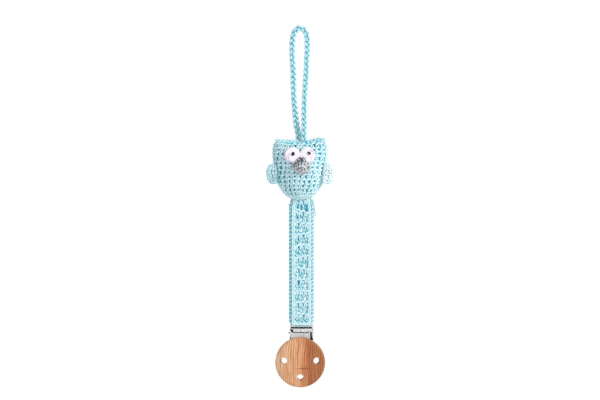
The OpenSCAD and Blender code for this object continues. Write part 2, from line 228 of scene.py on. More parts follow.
class Skin:
    """A smooth closed-round surface that stitches are laid on. rings is (t, f, 3).

    t runs from 0 at the first ring to 1 at the last, by distance along the surface, and f
    goes once round from 0 to 1. sign is 1 if the rings' own normals point outwards."""

    def __init__(self, rings, sign=1):
        p = np.asarray(rings, float)
        step = np.linalg.norm(np.diff(p, axis=0), axis=-1).mean(axis=1)
        length = np.concatenate([[0], np.cumsum(step)])
        even = np.linspace(0, length[-1], len(p))
        self.length = length[-1]
        at = np.interp(even, length, np.arange(len(p)))
        low = np.clip(at.astype(int), 0, len(p) - 2)
        mix = (at - low)[:, None, None]
        p = p[low] * (1 - mix) + p[low + 1] * mix
        along = np.gradient(p, axis=0)
        wrapped = np.concatenate([p[:, -1:], p, p[:, :1]], axis=1)
        around = np.gradient(wrapped, axis=1)[:, 1:-1]
        self.p = p
        self.n = sign * unit(np.cross(around, along))

    def at(self, t, f, lift):
        """Points at t and f, lifted off the surface, and the way out at each."""
        rows, cols = self.p.shape[:2]
        y = np.clip(t, 0, 1) * (rows - 1)
        x = np.mod(f, 1) * cols
        y0 = np.clip(y.astype(int), 0, rows - 2)
        x0 = x.astype(int) % cols
        x1 = (x0 + 1) % cols
        a = (y - y0)[..., None]
        b = (x - np.floor(x))[..., None]

        def mixed(g):
            return ((g[y0, x0] * (1 - b) + g[y0, x1] * b) * (1 - a)
                    + (g[y0 + 1, x0] * (1 - b) + g[y0 + 1, x1] * b) * a)

        out = unit(mixed(self.n))
        return mixed(self.p) + out * np.asarray(lift)[..., None], out

    def girth(self, t):
        """How far it is round the surface at t."""
        loop = np.concatenate([self.p, self.p[:, :1]], axis=1)
        round_it = np.linalg.norm(np.diff(loop, axis=1), axis=-1).sum(axis=1)
        return np.interp(t, np.linspace(0, 1, len(round_it)), round_it)

    def lining(self, name, lift, rows=48, cols=64):
        """A plain closed surface under the stitches."""
        t = np.linspace(0, 1, rows)[:, None] + np.zeros((1, cols))
        f = np.arange(cols)[None] / cols + np.zeros((rows, 1))
        p, _ = self.at(t, f, np.full(t.shape, lift))
        i = np.arange(rows - 1)[:, None] * cols
        j = np.arange(cols)[None]
        j2 = (j + 1) % cols
        quads = np.stack([i + j, i + cols + j, i + cols + j2, i + j2], -1).reshape(-1)
        caps = np.concatenate([np.arange(cols), (rows - 1) * cols + np.arange(cols)[::-1]])
        loops = np.concatenate([quads, caps])
        starts = np.concatenate([
            4 * np.arange((rows - 1) * cols), len(quads) + np.array([0, cols])])
        return new_mesh(name, p.reshape(-1, 3), loops, starts)


def oval_ring(half_w, half_d, power, count):
    """Evenly spaced points of an oval in X and Y. It starts at the front, on -Y."""
    a = np.linspace(-math.pi / 2, 1.5 * math.pi, 721)
    x = half_w * np.sign(np.cos(a)) * np.abs(np.cos(a)) ** (2 / power)
    y = half_d * np.sign(np.sin(a)) * np.abs(np.sin(a)) ** (2 / power)
    run = np.concatenate([[0], np.cumsum(np.hypot(np.diff(x), np.diff(y)))])
    even = np.linspace(0, run[-1], count + 1)[:-1]
    return np.stack([np.interp(even, run, x), np.interp(even, run, y)], -1)


# A single crochet stitch, as (across in stitches, up in rows, out in yarn radii): two posts
# that close up towards their top, and over them a bar that runs on into the next stitch.
POSTS = [np.array([
    (-0.27, -0.12, -0.50), (-0.27, 0.10, 0.45), (-0.25, 0.34, 0.75),
    (-0.17, 0.58, 0.25), (-0.08, 0.80, -0.70)]), np.array([
    (0.15, -0.12, -0.50), (0.15, 0.10, 0.40), (0.13, 0.34, 0.65),
    (0.06, 0.58, 0.15), (0.0, 0.80, -0.70)])]
BAR = np.array([
    (-0.42, 0.56, -0.50), (-0.30, 0.68, 0.35), (-0.08, 0.82, 0.95),
    (0.20, 0.93, 1.05), (0.44, 0.97, 0.50), (0.60, 0.98, -0.50)])


def crochet(yarn, skin, rows, count, radius, span=(0.0, 1.0), lean=0.1, wander=0.05):
    """Rows of single crochet on a skin, from the top row down. Where the rounds are short,
    the stitches and their yarn draw in."""
    height = (span[1] - span[0]) / rows
    row, col = np.meshgrid(np.arange(rows), np.arange(count), indexing="ij")
    row, col = row.reshape(-1, 1), col.reshape(-1, 1)
    pitch = skin.girth(span[0] + (row + 0.5) * height) / count
    fit = radius * np.clip(pitch / (4.3 * radius), 0.72, 1.0)
    sway = 0.10 * np.sin(1.9 * row + 0.8 * col) + 0.08 * np.sin(0.7 * row - 1.3 * col)
    for shape, share in ((POSTS[0], 0.86), (POSTS[1], 0.86), (BAR, 1.0)):
        shift = np.array([[rng.uniform(-wander, wander) for _ in range(3)] for _ in row])
        across = shape[None, :, 0] + shift[:, :1] + sway
        up = shape[None, :, 1] + shift[:, 1:2] + 0.7 * sway
        out = shape[None, :, 2] + 2 * shift[:, 2:]
        t = span[0] + (row + 1 - up) * height
        f = (col + 0.5 + lean * row + across - lean * up) / count
        points, way = skin.at(t, f, out * fit)
        yarn.add(spline(points, 2), fit * share, unit(spline(way, 2)),
                 spline(out[..., None], 2)[..., 0])


# ---------------------------------------------------------------------------- materials


def material(name):
    """A new node material, and its shader."""
    made = bpy.data.materials.new(name)
    made.use_nodes = True
    return made, made.node_tree.nodes["Principled BSDF"]


def give(node, **values):
    """Sets a node's plain properties and its inputs' values."""
    for key, value in values.items():
        if hasattr(node, key):
            setattr(node, key, value)
        else:
            node.inputs[key.replace("_", " ")].default_value = value


def put(mat, kind, **values):
    """Adds a node with its values."""
    node = mat.node_tree.nodes.new("ShaderNode" + kind)
    give(node, **values)
    return node


def link(mat, a, out, b, into):
    """Joins a's output to b's input, each by its name or number."""
    mat.node_tree.links.new(a.outputs[out], b.inputs[into])


def texture(mat, kind, at, out="Object", **values):
    """A texture that takes its place from the node at."""
    node = put(mat, "Tex" + kind, **values)
    link(mat, at, out, node, "Vector")
    return node


def ramp(mat, stops, factor, out="Fac"):
    """A colour ramp, as (place, colour) stops."""
    node = put(mat, "ValToRGB")
    while len(node.color_ramp.elements) < len(stops):
        node.color_ramp.elements.new(0.5)
    for element, (place, colour) in zip(node.color_ramp.elements, stops):
        element.position = place
        element.color = (*colour, 1)
    link(mat, factor, out, node, "Fac")
    return node


def math_node(mat, operation, *values):
    """A Math node. Each value is a number or (node, output)."""
    node = put(mat, "Math", operation=operation)
    for i, value in enumerate(values):
        if isinstance(value, tuple):
            link(mat, *value, node, i)
        else:
            node.inputs[i].default_value = value
    return node


def multiplied(mat, factor, a, b):
    """Colour a times colour b, where both are (node, output). Its result is output 2."""
    node = put(mat, "Mix", data_type="RGBA", blend_type="MULTIPLY", Factor=factor)
    link(mat, *a, node, 6)
    link(mat, *b, node, 7)
    return node


def relief(mat, shader, height, out, strength, depth):
    """Bumps the surface by a node's output."""
    bump = put(mat, "Bump", Strength=strength, Distance=depth)
    link(mat, height, out, bump, "Height")
    link(mat, bump, "Normal", shader, "Normal")


# Plied yarn: ridges round it, turns in UV_LENGTH, how much painted shade darkens the
# grooves, and the level that counts as neither groove nor ridge
PLIES = 4
PLY_TURNS = 3.2
PLY_SHADE = 0.7
MEAN_RIDGE = 0.8


def yarn_material(name, deep, mid, raised, flecks=None, fleck_scale=None):
    """Plied yarn. Its colour is painted shade and light: dark deep in the fabric, pale where
    raised, with flecks over it, and its bump is the twist of its plies and their fibres."""
    mat, shader = material(name)
    where = put(mat, "TexCoord")
    rise = put(mat, "Attribute", attribute_name="rise")
    noise = texture(mat, "Noise", where, Scale=260.0, Detail=3.0, Roughness=0.6)
    sway = math_node(mat, "MULTIPLY_ADD", (noise, "Fac"), 0.5, -0.25)
    uv = put(mat, "UVMap", uv_map="yarn")
    split = put(mat, "SeparateXYZ")
    link(mat, uv, "UV", split, "Vector")
    turn = math_node(mat, "MULTIPLY", (split, "X"), PLY_TURNS)
    phase = math_node(mat, "ADD", (split, "Y"), (turn, "Value"))
    angle = math_node(mat, "MULTIPLY", (phase, "Value"), PLIES * math.pi)
    wave = math_node(mat, "SINE", (angle, "Value"))
    ridge = math_node(mat, "ABSOLUTE", (wave, "Value"))
    fibre = texture(mat, "Noise", where, Scale=2200.0, Detail=2.0)
    height = math_node(mat, "MULTIPLY_ADD", (fibre, "Fac"), 0.35, (ridge, "Value"))
    swayed = math_node(mat, "ADD", (rise, "Fac"), (sway, "Value"))
    # Painted shade in the ply grooves.
    groove = math_node(mat, "MULTIPLY_ADD", (height, "Value"), PLY_SHADE, -MEAN_RIDGE * PLY_SHADE)
    total = math_node(mat, "ADD", (swayed, "Value"), (groove, "Value"))
    level = put(mat, "MapRange", From_Min=-0.9, From_Max=1.9)
    link(mat, total, "Value", level, "Value")
    # Painted shade and light: deep yarn gets the dark colour, raised yarn the pale one.
    tone = ramp(mat, [(0.12, deep), (0.52, mid), (0.9, raised)], level, "Result")
    if flecks:
        spots = texture(mat, "Noise", where, Scale=fleck_scale, Detail=2.0, Roughness=0.5)
        tint = ramp(mat, flecks, spots)
        both = multiplied(mat, 1.0, (tone, "Color"), (tint, "Color"))
        link(mat, both, 2, shader, "Base Color")
    else:
        link(mat, tone, "Color", shader, "Base Color")
    relief(mat, shader, height, "Value", 0.7, 0.16 * MM)
    give(shader, Roughness=0.85, Specular_IOR_Level=0.12, Sheen_Weight=0.06, Sheen_Roughness=0.5)
    return mat


INSIDE_SHADE = (0.03, 0.03, 0.032, 1)


def metal_material(name, colour, rough, inside=None):
    """Plated sheet metal with faint brushing and small dents. Between the two depths of
    inside, painted shade: the colour there is near black."""
    mat, shader = material(name)
    where = put(mat, "TexCoord")
    stretch = put(mat, "Mapping", Scale=(90.0, 1500.0, 1500.0))
    link(mat, where, "Object", stretch, "Vector")
    brushed = texture(mat, "Noise", stretch, "Vector", Scale=1.0, Detail=2.0)
    cloud = texture(mat, "Noise", where, Scale=420.0, Detail=3.0)
    dark = tuple(0.86 * c for c in colour)
    tone = ramp(mat, [(0.35, dark), (0.65, colour)], cloud)
    if inside:
        split = put(mat, "SeparateXYZ")
        link(mat, where, "Object", split, "Vector")
        past = math_node(mat, "GREATER_THAN", (split, "Y"), inside[0])
        before = math_node(mat, "LESS_THAN", (split, "Y"), inside[1])
        within = math_node(mat, "MULTIPLY", (past, "Value"), (before, "Value"))
        inside_shade_mix = put(mat, "Mix", data_type="RGBA")
        inside_shade_mix.inputs[7].default_value = INSIDE_SHADE
        link(mat, within, "Value", inside_shade_mix, "Factor")
        link(mat, tone, "Color", inside_shade_mix, 6)
        link(mat, inside_shade_mix, 2, shader, "Base Color")
    else:
        link(mat, tone, "Color", shader, "Base Color")
    spread = put(mat, "MapRange", To_Min=rough * 0.75, To_Max=rough * 1.35)
    link(mat, brushed, "Fac", spread, "Value")
    link(mat, spread, "Result", shader, "Roughness")
    both = math_node(mat, "ADD", (brushed, "Fac"), (cloud, "Fac"))
    relief(mat, shader, both, "Value", 0.25, 0.04 * MM)
    give(shader, Metallic=1.0)
    return mat


# The disc's grain lines, its half width, and where its one cross streak lies
GRAIN_SCALE = 190.0
DISC_HALF = 18 * MM
STREAK_DROP = 241.8 * MM
STREAK_X = 2.2 * MM


def wood_material():
    """Oiled beech: upright grain lines, short dark flecks and one cross streak, with a painted
    highlight towards the left and painted shade towards the right."""
    mat, shader = material("beech")
    where = put(mat, "TexCoord")
    bend = texture(mat, "Noise", where, Scale=55.0, Detail=2.0)
    push = put(mat, "VectorMath", operation="MULTIPLY")
    push.inputs[1].default_value = (6 * MM, 0.0, 0.0)
    link(mat, bend, "Color", push, "Vector")
    moved = put(mat, "VectorMath", operation="ADD")
    link(mat, where, "Object", moved, 0)
    link(mat, push, "Vector", moved, 1)

    def stretched(scale):
        node = put(mat, "Mapping", Scale=scale)
        link(mat, moved, "Vector", node, "Vector")
        return node

    def streaks(scale, detail, rough=0.6):
        return texture(mat, "Noise", stretched(scale), "Vector", Scale=1.0, Detail=detail,
                       Roughness=rough)

    lines = texture(mat, "Wave", stretched((1.0, 0.3, 0.10)), "Vector", Scale=GRAIN_SCALE,
                    Distortion=3.4, Detail=2.0, Detail_Scale=1.2)
    broad = streaks((620.0, 240.0, 40.0), 3.0, 0.62)
    bands = streaks((150.0, 60.0, 14.0), 2.0)
    rays = streaks((2600.0, 900.0, 260.0), 1.0)
    rings = math_node(mat, "MULTIPLY_ADD", (lines, "Fac"), 0.26, (broad, "Fac"))
    grain = ramp(mat, [
        (0.40, (0.50, 0.18, 0.075)), (0.54, (0.60, 0.27, 0.125)),
        (0.68, (0.70, 0.39, 0.22)), (0.84, (0.79, 0.56, 0.40))], rings, "Value")
    split = put(mat, "SeparateXYZ")
    link(mat, where, "Object", split, "Vector")
    across = put(mat, "MapRange", From_Min=-DISC_HALF, From_Max=DISC_HALF)
    link(mat, split, "X", across, "Value")
    side = math_node(mat, "MULTIPLY_ADD", (bands, "Fac"), 0.55, (across, "Result"))
    # Painted light across the disc: a pale, cool highlight on the left and painted shade on the
    # right.
    painted_side_light = ramp(mat, [
        (0.26, (0.94, 0.88, 0.82)), (0.40, (0.90, 1.02, 1.12)), (0.60, (0.93, 0.88, 0.80)),
        (0.82, (0.77, 0.55, 0.375)), (1.0, (0.42, 0.21, 0.07))], side, "Value")
    tone = multiplied(mat, 0.9, (grain, "Color"), (painted_side_light, "Color"))
    low = math_node(mat, "ADD", (split, "Z"), STREAK_DROP)
    crook = math_node(mat, "MULTIPLY_ADD", (bend, "Fac"), 4 * MM, (low, "Value"))
    thin = math_node(mat, "ABSOLUTE", (crook, "Value"))
    beside = math_node(mat, "SUBTRACT", (split, "X"), STREAK_X)
    wide = math_node(mat, "ABSOLUTE", (beside, "Value"))
    away = math_node(mat, "MULTIPLY_ADD", (wide, "Value"), 0.095, (thin, "Value"))
    mark = put(mat, "MapRange", From_Min=0.2 * MM, From_Max=0.9 * MM)
    link(mat, away, "Value", mark, "Value")
    streak = ramp(mat, [(0.0, (0.62, 0.34, 0.21)), (1.0, (1, 1, 1))], mark, "Result")
    marked = multiplied(mat, 1.0, (tone, 2), (streak, "Color"))
    fleck = ramp(mat, [(0.30, (0.70, 0.62, 0.56)), (0.42, (1, 1, 1))], rays)
    done = multiplied(mat, 0.6, (marked, 2), (fleck, "Color"))
    link(mat, done, 2, shader, "Base Color")
    relief(mat, shader, rings, "Value", 0.25, 0.08 * MM)
    give(shader, Roughness=0.55, Specular_IOR_Level=0.35)
    return mat


def simple_material(name, kind, values, stops, bump, **finish):
    """A material whose colour and relief follow one texture."""
    mat, shader = material(name)
    pattern = texture(mat, kind, put(mat, "TexCoord"), **values)
    colour = ramp(mat, stops, pattern)
    link(mat, colour, "Color", shader, "Base Color")
    relief(mat, shader, pattern, "Fac", *bump)
    give(shader, **finish)
    return mat


def satin_material():
    """White woven satin tape."""
    weave = {"Scale": 900.0, "Distortion": 0.4, "bands_direction": "Z"}
    stops = [(0.0, (0.80, 0.78, 0.81)), (1.0, (0.93, 0.92, 0.94))]
    return simple_material("label_satin", "Wave", weave, stops, (0.4, 0.05 * MM),
                           Roughness=0.5, Sheen_Weight=0.2)


def fill_material():
    """Loose polyester stuffing."""
    stops = [(0.3, (0.78, 0.78, 0.77)), (0.7, (0.93, 0.93, 0.92))]
    return simple_material("stuffing", "Noise", {"Scale": 300.0, "Detail": 5.0}, stops,
                           (0.8, 0.6 * MM), Roughness=0.95)


def plastic_material():
    """Moulded jaw pads, slightly mottled."""
    stops = [(0.3, (0.74, 0.74, 0.71)), (0.7, (0.82, 0.82, 0.80))]
    return simple_material("pad_plastic", "Noise", {"Scale": 700.0, "Detail": 3.0}, stops,
                           (0.3, 0.03 * MM), Roughness=0.45)


# Each yarn: deep, mid and raised colours. Deep is painted shade and raised is painted light; the
# flecks are the yarn's own.
AQUA = yarn_material(
    "aqua_yarn", (0.03, 0.43, 0.53), (0.205, 0.595, 0.68), (0.65, 0.815, 0.85))
# A paler copy of the aqua yarn for the right wing: painted light on its lit side.
AQUA_LIT = yarn_material(
    "lit_aqua_yarn", (0.20, 0.55, 0.63), (0.50, 0.77, 0.82), (0.84, 0.91, 0.93))
# A dark sheet under the stitches: painted shade seen through the gaps between them.
AQUA_SHADE_SHEET = yarn_material(
    "aqua_painted_shade", (0.025, 0.40, 0.50), (0.035, 0.42, 0.52), (0.06, 0.46, 0.56))
PINK = yarn_material(
    "pink_yarn", (0.62, 0.50, 0.64), (0.90, 0.85, 0.905), (0.98, 0.96, 0.98), flecks=[
        (0.32, (0.74, 0.70, 0.92)), (0.39, (0.93, 0.76, 0.89)), (0.46, (1.0, 0.96, 0.98)),
        (0.62, (1.0, 1.0, 1.0)), (0.71, (0.97, 0.80, 0.90))], fleck_scale=300)
BLACK = yarn_material(
    "black_yarn", (0.004, 0.006, 0.010), (0.010, 0.014, 0.022), (0.03, 0.04, 0.05))
GREY = yarn_material(
    "grey_yarn", (0.02, 0.035, 0.042), (0.225, 0.25, 0.26), (0.68, 0.69, 0.70), flecks=[
        (0.38, (0.38, 0.41, 0.43)), (0.47, (0.75, 0.76, 0.78)), (0.56, (1, 1, 1))],
    fleck_scale=380)
NICKEL = metal_material("nickel", (0.51, 0.51, 0.515), 0.26)
# The frame's inside between its plates gets painted shade.
FRAME_NICKEL = metal_material("frame_nickel", (0.62, 0.62, 0.62), 0.24, inside=(
    0.35 * MM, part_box("clip_frame")[1][1] - 0.75 * MM))
# Near-black steel for the hinge pin: painted shade, so that it reads as the shaded gap at the
# hinge.
PIN_SHADE_STEEL = metal_material("pin_painted_shade_steel", (0.12, 0.12, 0.125), 0.45)
STEEL = metal_material("spring_steel", (0.42, 0.42, 0.44), 0.34)
BEECH = wood_material()
SATIN = satin_material()
FILL = fill_material()
PLASTIC = plastic_material()


def dress(obj, mat, body, slot, *nodes):
    """Gives a piece its material and body, and hides the CAD nodes that it stands for. Its slot is
    not used.
    """
    obj.data.materials.clear()
    obj.data.materials.append(mat)
    if body:
        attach(obj, body)
    if nodes:
        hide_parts(*nodes)
    return obj


# ------------------------------------------------------------------------------- camera

CAMERA_FAR = 1.4
MM_PER_PIXEL = 0.727
LOOK_AT = (-0.00015, -0.1224)


def make_camera():
    """A long lens straight in front, level with the middle of the holder."""
    data = bpy.data.cameras.new("camera")
    data.sensor_width = 36
    data.lens = 36 * CAMERA_FAR / (600 * MM_PER_PIXEL * MM)
    data.clip_start = 0.01
    obj = bpy.data.objects.new("camera", data)
    obj.location = (LOOK_AT[0], -CAMERA_FAR, LOOK_AT[1])
    obj.rotation_euler = (math.pi / 2, 0, 0)
    bpy.context.scene.collection.objects.link(obj)
    bpy.context.scene.camera = obj


make_camera()

# --------------------------------------------------------------------- the hanging loop

LOOP_TAIL = 2.2 * MM
BRAID_PITCH = 12.2 * MM
BRAID_HALF = 1.35 * MM
BRAID_DEEP = 0.78 * MM
STRAND_R = 0.78 * MM
STRAND_OFF = 0.36 * MM
STRAND_TURN = 7 * MM
LOOP_ROUTE = np.array([
    (-1, 1.8, -77.4), (-1.6, 1.5, -73), (-2.6, 1.1, -68), (-3.4, 0.7, -62),
    (-4, 0.3, -55), (-4.4, 0, -47), (-4.8, 0, -38), (-5, 0, -29), (-5.4, 0, -20),
    (-5.7, 0, -12), (-5.6, 0, -6.5), (-4.6, 0, -1.5), (-2.6, 0, 1.4), (0, 0, 2.5),
    (2.6, 0, 1.4), (4.6, 0, -1.5), (5.4, 0, -6.5), (5.4, 0, -12), (5, 0, -20),
    (4.6, 0, -29), (4, 0, -38), (3.4, 0, -47), (3.1, -0.3, -55), (3, -0.7, -62),
    (3, -1.1, -68), (2.9, -1.5, -73), (2.8, -1.8, -77.4)]) * MM


def even_path(points, step):
    """The same curve with its points an even step apart, and its length."""
    fine = spline(points, 24)
    run = np.concatenate([[0], np.cumsum(np.linalg.norm(np.diff(fine, axis=0), axis=1))])
    at = np.linspace(0, run[-1], int(run[-1] / step) + 1)
    return np.stack([np.interp(at, run, fine[:, i]) for i in range(3)], -1), run[-1]


def make_loop():
    """A flat three-strand braid along the loop's route, its two ends down in the head."""
    path, length = even_path(LOOP_ROUTE, 0.55 * MM)
    extra = np.arange(4, 0, -1)[:, None] / 4 * LOOP_TAIL * np.array([0, 0, -1.0])
    whole = np.concatenate([path[:1] + extra, path, path[-1:] + extra[::-1]])
    t = unit(np.gradient(whole, axis=0))
    side = unit(np.cross(t, np.array([0, 1.0, 0])))
    front = np.cross(side, t)
    run = np.concatenate([[0], np.cumsum(np.linalg.norm(np.diff(whole, axis=0), axis=1))])
    turns = round(length / BRAID_PITCH)
    yarn = Yarn(10)
    for k in range(3):
        a = 2 * math.pi * (run / run[-1] * turns + k / 3)
        wide = BRAID_HALF * np.sin(a)
        deep = BRAID_DEEP * np.sin(2 * a)
        line = whole + side * wide[:, None] + front * deep[:, None]
        for half in (0, math.pi):
            spin = 2 * math.pi * run / STRAND_TURN + half
            off = np.cos(spin)[:, None] * side + np.sin(spin)[:, None] * front
            yarn.add(line + STRAND_OFF * off, STRAND_R)

    def rise(points, _):
        """Painted shade and light: darker near the braid's middle line, paler away from it."""
        away = [np.linalg.norm(points[i:i + 2000, None] - whole[None, ::3], axis=-1).min(axis=1)
                for i in range(0, len(points), 2000)]
        return np.concatenate(away) / (0.85 * MM) - 0.95

    obj = yarn.build("loop_braid", rise)
    dress(obj, AQUA, "owl", "aqua_yarn", "hanging_loop")


make_loop()

# --------------------------------------------------------------------------- owl's body

# How far down, how wide and how deep, as shares of the height and of half the width and
# depth: the same rows as the CAD body
OWL_ROWS = np.array([
    (0, 0.93, 0.15), (0.05, 0.97, 0.31), (0.14, 1, 0.58), (0.25, 0.995, 0.80),
    (0.37, 0.97, 0.92), (0.50, 0.92, 0.985), (0.64, 0.88, 1), (0.76, 0.80, 0.95),
    (0.83, 0.72, 0.86), (0.885, 0.65, 0.76), (0.945, 0.515, 0.60), (0.985, 0.33, 0.38),
    (1, 0.12, 0.14)])
OWL_YARN = 0.98 * MM
OWL_STITCHES = 24
OWL_ROUNDS = 14
WING_H = 14.4 * MM
WING_REACH = 7.2 * MM
WING_T = 2.8 * MM
WING_LEAN = math.radians(8)
WING_YARN = 0.82 * MM

# Painted shade where a wing is sewn on: how far in from its joint, how wide and tall, and how
# dark, in radii of depth
SEWN_IN = 0.6 * MM
SEWN_W = 1.3 * MM
SEWN_H = 7 * MM
SEAM_SHADE_DEPTH = 1.4


def ear_lift(x):
    """How the top edge rises at the two ears and dips between them."""
    left = 0.5 * MM * np.exp(-((x + 17 * MM) / (4 * MM)) ** 2)
    right = 1.8 * MM * np.exp(-((x - 14 * MM) / (5 * MM)) ** 2)
    return left + right - 0.3 * MM


def owl_skin():
    """The surface that the yarn's middle follows, a yarn's thickness inside the CAD body."""
    margin = OWL_YARN * 1.25
    rows = spline(OWL_ROWS, 12)
    rings = []
    for share, wide, deep in rows:
        half_w = max(wide * OWL_W / 2 - margin, 0.6 * MM)
        half_d = max(deep * OWL_D / 2 - margin * min(1, deep * 1.6), 0.5 * MM)
        xy = oval_ring(half_w, half_d, 2.3, 240)
        z = OWL_TOP - margin * 0.4 - share * (OWL_H - margin * 1.4)
        drop = share * OWL_H
        lift = ear_lift(xy[:, 0]) * math.exp(-drop / (7 * MM))
        rings.append(np.column_stack([xy, z + lift]))
    return Skin(rings, sign=-1)


def make_owl():
    """The stuffed body: rounds of single crochet over a dark sheet, painted shade in the gaps
    between stitches.
    """
    skin = owl_skin()
    yarn = Yarn(7)
    crochet(yarn, skin, OWL_ROUNDS, OWL_STITCHES, OWL_YARN, span=(0.078, 0.985), lean=-0.14,
            wander=0.08)
    seams = [joint_point(side + "_wing_flap") for side in ("left", "right")]

    def rise(points, laid):
        """Painted shade: darker where the wings are sewn on."""
        seam_shade = np.zeros(len(points))
        for at in seams:
            side = np.sign(at[0])
            up = points[:, 2] - at[2]
            gap = points[:, 0] - at[0] - side * math.tan(WING_LEAN) * up + side * SEWN_IN
            tall = np.exp(-(up / SEWN_H) ** 4)
            seam_shade += SEAM_SHADE_DEPTH * np.exp(-(gap / SEWN_W) ** 2) * tall * (points[:, 1] < 0)
        return laid - seam_shade

    body = dress(yarn.build("owl_crochet", rise), AQUA, "owl", "aqua_yarn", "owl_shell")
    # Painted shade: a dark sheet under the body's stitches, seen through their gaps.
    dress(skin.lining("owl_shade_sheet", -0.25 * OWL_YARN), AQUA_SHADE_SHEET, "owl", "aqua_yarn")
    fill = skin.lining("owl_fill", -1.6 * MM, rows=30, cols=36)
    dress(fill, FILL, "owl", "stuffing", "owl_stuffing")


make_owl()


# Half of a stitch over the top edge, in mm: along the edge, out from it and down
OVERCAST = np.array([(0.9, 0.6, 2.6), (0.75, 1.9, 1.9), (0.3, 1.6, 0.7), (0.0, 0.7, 0.05)])


def make_seam():
    """The sewn top edge: two rolls in front and behind, and stitches over them."""
    yarn = Yarn(8)
    half = 0.93 * OWL_W / 2 - 0.9 * MM
    edge = np.linspace(-half, half, 60)
    top = OWL_TOP + ear_lift(edge)
    for face in (-1, 1):
        for drop, y, r, phase in ((0.6, 0.75, 0.95, 0.0), (1.9, 1.75, 1.05, 2.0)):
            turn = edge / MM * 1.7 + phase
            low = drop + 0.18 * np.sin(turn) + 0.35 * drop * smoothstep(-4 * MM, 8 * MM, edge)
            line = np.column_stack([
                edge, face * (y + 0.15 * np.cos(turn)) * MM, top - low * MM])
            yarn.add(line, r * MM, (0, 0.45 * face, 0.89), 0.4)
    count = 14
    for k in range(count):
        x = -half + 2 * half * (k + 0.5) / count + rng.uniform(-0.2, 0.2) * MM
        lift = ear_lift(np.array(x)) + OWL_TOP
        front, back = -OVERCAST * MM, OVERCAST[::-1] * (MM, MM, -MM)
        turn = np.concatenate([front, back]) + (x, 0, lift)
        out = np.column_stack([np.zeros(8), np.linspace(-1, 1, 8), np.full(8, 0.6)])
        yarn.add(spline(turn, 3), 0.62 * MM, unit(spline(out, 3)), 0.7)
    dress(yarn.build("seam_stitches"), AQUA, "owl", "aqua_yarn", "top_seam")


make_seam()

# --------------------------------------------------------------------------------- face


def turned(rings, right, up, out, at):
    """Rings in a frame of their own, placed at a point."""
    axes = np.stack([right, up, out])
    return np.asarray(rings) @ axes + np.asarray(at)


def disc_rings(radius, dome, rim, count=120):
    """Rings from the middle of a domed disc out over its rim. Z is the way it faces."""
    rings = []
    for share in np.linspace(0.12, 1, 40):
        a = 2 * math.pi * np.arange(count) / count
        fall = rim * smoothstep(0.8, 1.0, share)
        z = dome * (1 - share**2 * 0.35) - fall
        over = max(0.0, share - 0.9)
        reach = radius * (min(share, 0.9) + 0.1 * math.sin(over * 5 * math.pi))
        rings.append(np.column_stack([reach * np.cos(a), reach * np.sin(a), np.full(count, z)]))
    return np.array(rings)


def face_axes(lean):
    """Right, up and out of a patch on the face that leans back by an angle."""
    up = np.array([0, math.sin(lean), math.cos(lean)])
    out = np.array([0, -math.cos(lean), math.sin(lean)])
    return np.array([1.0, 0, 0]), up, out


EYE_LEAN = math.radians(16)
EYE_R = 5.85 * MM

# The rounds of an eye, all but the count in mm: radius, stitches, yarn and how far out
EYE_ROUNDS = ((0.7, 4, 0.50, 1.0), (2.2, 9, 0.62, 1.0), (4.2, 15, 0.60, 0.85))

# One leg of an eye's stitch: how far along it, and how high it stands
EYE_STITCH = ((-0.30, -0.25), (0.15, 0.45), (0.62, 0.50), (1.10, -0.20))


def make_eye(name):
    """An eye: a crocheted patch in flecked yarn, worked round and round from its middle."""
    right, up, out = face_axes(EYE_LEAN)
    at = middle(name)
    rings = turned(disc_rings(EYE_R - 1.0 * MM, 1.0 * MM, 0.7 * MM), right, up, out, at)
    skin = Skin(rings, sign=-1)
    yarn = Yarn(8)
    for ring_r, count, thick, lift in EYE_ROUNDS:
        for k in range(count):
            first = 2 * math.pi * (k + rng.uniform(-0.06, 0.06)) / count
            for leg in (-0.55, 0.55):
                arc = []
                for share, high in EYE_STITCH:
                    a = first + 2 * math.pi / count * share
                    away = (ring_r + leg * (0.55 + 0.45 * math.cos((share - 0.4) * 2))) * MM
                    away = min(away, EYE_R - 0.65 * MM)
                    z = (lift * (1 - (away / EYE_R) ** 2 * 0.45) + high * 0.5 - 0.1) * MM
                    flat = math.cos(a) * right + math.sin(a) * up
                    arc.append(at + away * flat + z * out)
                yarn.add(spline(np.array(arc), 3), thick * MM, out, 0.5)
    rim = np.linspace(0, 2 * math.pi, 60)
    flat = np.cos(rim)[:, None] * right + np.sin(rim)[:, None] * up
    yarn.add(at + (EYE_R - 0.75 * MM) * flat + 0.1 * MM * out, 0.72 * MM, out, 0.2)
    dress(yarn.build(name + "_crochet"), PINK, "owl", "pink_yarn", name)
    dress(skin.lining(name + "_back", -0.35 * MM, rows=16, cols=40), PINK, "owl", "pink_yarn")


def make_pupil(name, wide, tall, turn):
    """A pupil: a few wraps of dark yarn drawn into the middle of the eye."""
    right, up, out = face_axes(EYE_LEAN)
    at = middle(name) + out * 0.55 * MM
    along = math.cos(turn) * right + math.sin(turn) * up
    over = -math.sin(turn) * right + math.cos(turn) * up
    yarn = Yarn(8)
    wraps = 4
    share = np.linspace(-1, 1, 7)[:, None]
    for k in range(wraps):
        y = (k / (wraps - 1) - 0.5) * (tall - 0.8 * MM)
        reach = (wide / 2 - 0.25 * MM) * math.sqrt(max(0.15, 1 - (2 * y / tall) ** 2))
        z = 0.55 * MM * (1 - share**2) - 0.25 * MM
        yarn.add(at + share * reach * along + y * over + z * out, 0.46 * MM)
    dress(yarn.build(name + "_knot"), BLACK, "owl", "black_yarn", name)


BEAK_TIP_R = 2.6 * MM
BEAK_YARN = 0.8 * MM

# Painted shade in a spot at the beak's top, between the eyes: how far down and how wide, and how
# dark, in radii of depth
BEAK_SHADE_DROP = 1.6 * MM
BEAK_SHADE_R = 1.5 * MM
BEAK_SHADE_DEPTH = 2.4


